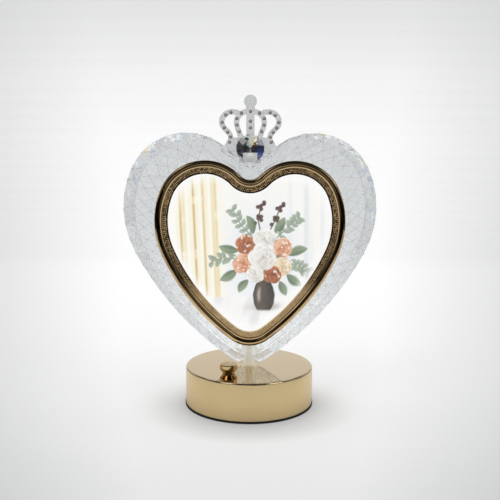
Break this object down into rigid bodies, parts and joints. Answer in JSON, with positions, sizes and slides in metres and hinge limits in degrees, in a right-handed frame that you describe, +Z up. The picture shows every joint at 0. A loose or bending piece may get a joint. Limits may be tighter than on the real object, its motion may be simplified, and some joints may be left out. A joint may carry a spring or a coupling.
{
  "type": "heart shaped photo frame",
  "caption": "Lit table photo frame: clear faceted heart with a gold heart bezel, crown and large stone, on a short clear stem and a gold drum base with a dimmer knob.",
  "frame": {"origin": "on the floor under the centre of the round base", "axes": "+Z up, the picture faces -Y, +X to the viewer's right"},
  "size_m": [0.1874, 0.0968, 0.2305],
  "materials": {
    "clear_plastic": "clear, faceted and polished",
    "gilt_plastic": "gold plated, polished moulding and grained band",
    "window": "clear and polished",
    "print": "satin translucent print",
    "opal": "opal",
    "white_plastic": "matt white",
    "circuit_board": "white solder mask",
    "lamp": "lens over phosphor",
    "steel": "bright",
    "smoky_stone": "cut and polished",
    "jewel_glass": "cut, polished and foil backed",
    "brass": "bright",
    "gilt_metal": "gold anodised, satin side and polished top",
    "black_plastic": "matt",
    "black_rubber": "matt",
    "iron": "as cast",
    "cell_wrap": "shrink wrapped can",
    "dark_plastic": "matt",
    "shaft_metal": "turned",
    "lead_sleeve": "smooth sleeve"
  },
  "bodies": {
    "frame": {"ballast": "iron", "base_plate": "black_plastic", "base_screws": "steel", "base_shell": "gilt_metal", "battery": "cell_wrap", "battery_cradle": "black_plastic", "battery_lead": "lead_sleeve", "board_screws": "steel", "charge_board": "circuit_board", "charge_screws": "steel", "control_board": "circuit_board", "crown": "clear_plastic", "crown_jewel": "jewel_glass", "crown_stones": "smoky_stone", "diffuser": "opal", "dimmer_body": "dark_plastic", "foot_pad": "black_rubber", "heart_front_shell": "clear_plastic", "heart_rear_shell": "clear_plastic", "led_board": "circuit_board", "led_lead": "lead_sleeve", "leds": "lamp", "light_box": "white_plastic", "link_lead": "lead_sleeve", "photo_print": "print", "rear_cover": "white_plastic", "rear_cover_screws": "steel", "stem": "clear_plastic", "stem_tube": "brass", "tube_nuts": "brass", "tube_washers": "brass", "usb_socket": "steel"},
    "dimmer": {"dimmer_knob": "gilt_metal", "dimmer_shaft": "shaft_metal"},
    "bezel": {"front_bezel": "gilt_plastic", "photo_window": "window"}
  },
  "joints": [
    {"name": "dimmer_turn", "type": "hinge", "parent": "frame", "child": "dimmer", "pos_m": [-0.015, -0.023, 0.029], "axis": [0, 0, 1], "range_deg": [-150, 150]},
    {"name": "bezel_pull", "type": "slide", "parent": "frame", "child": "bezel", "axis": [0, -1, 0], "range_m": [0, 0.03]}
  ]
}
